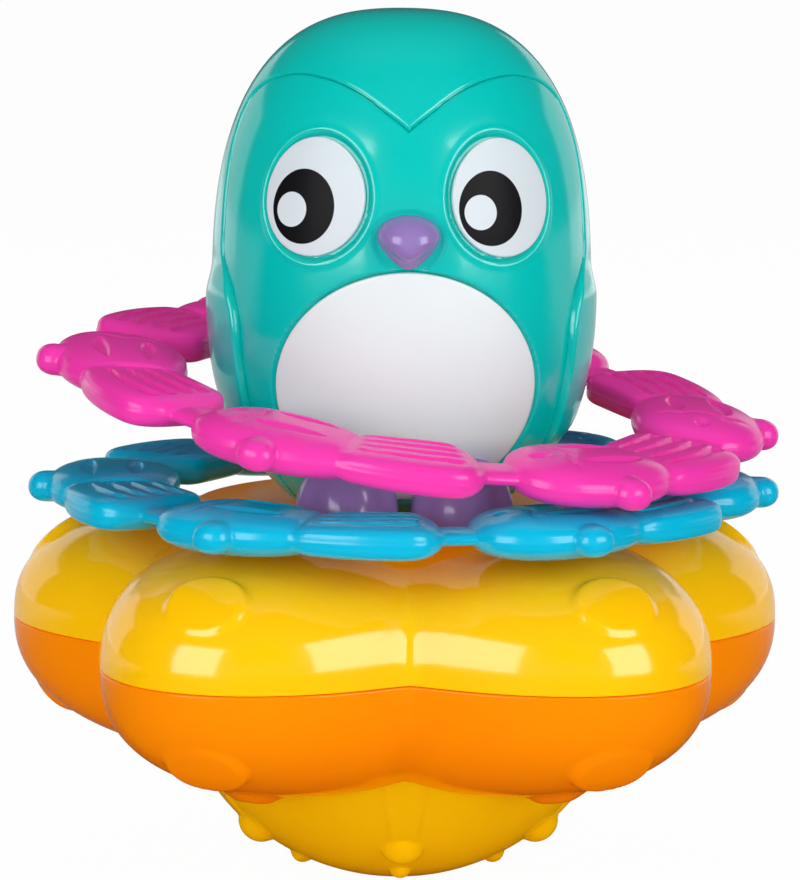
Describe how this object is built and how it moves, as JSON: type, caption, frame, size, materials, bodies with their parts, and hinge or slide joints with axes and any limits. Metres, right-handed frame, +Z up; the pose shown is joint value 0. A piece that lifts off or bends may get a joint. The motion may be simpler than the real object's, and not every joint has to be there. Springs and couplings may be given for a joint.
{
  "type": "bath ring stacker",
  "caption": "Floating bath toy: a round bird on a petal-shaped float with a weighted dome keel, and loose rings of linked fish that drop over the bird.",
  "frame": {"origin": "middle of the flat foot under the keel dome, on the surface that the toy stands on", "axes": "+Z up, the bird faces -Y, +X is the viewer's right when looking at its face"},
  "size_m": [0.159, 0.1538, 0.175],
  "materials": {
    "yellow_plastic": "polished injection moulding, glossy",
    "orange_plastic": "polished injection moulding, glossy",
    "teal_plastic": "polished injection moulding, glossy",
    "white_plastic": "smooth inlay, semi-gloss",
    "purple_plastic": "polished injection moulding, glossy",
    "pink_plastic": "moulded, satin gloss",
    "blue_plastic": "moulded, satin gloss",
    "steel": "bare turned steel"
  },
  "bodies": {
    "float_and_bird": {"float_upper_shell": "yellow_plastic", "float_lower_shell": "orange_plastic", "keel_dome": "yellow_plastic", "ballast_weight": "steel", "ballast_screw": "steel", "keel_screw_1": "steel", "keel_screw_2": "steel", "keel_screw_3": "steel", "bird_front_shell": "teal_plastic", "bird_back_shell": "teal_plastic", "bird_base_plate": "teal_plastic", "bird_screw_1": "steel", "bird_screw_2": "steel", "bird_screw_3": "steel", "belly_panel": "white_plastic", "eye_left": "white_plastic", "eye_right": "white_plastic", "beak": "purple_plastic", "foot_left": "purple_plastic", "foot_right": "purple_plastic"},
    "blue_ring": {"ring_blue": "blue_plastic"},
    "pink_ring": {"ring_pink": "pink_plastic"}
  },
  "joints": [
    {"name": "blue_ring_lift", "type": "slide", "parent": "float_and_bird", "child": "blue_ring", "axis": [0, 0, 1], "range_m": [0, 0.115]},
    {"name": "pink_ring_lift", "type": "slide", "parent": "blue_ring", "child": "pink_ring", "axis": [0, 0, 1], "range_m": [0, 0.105]}
  ]
}
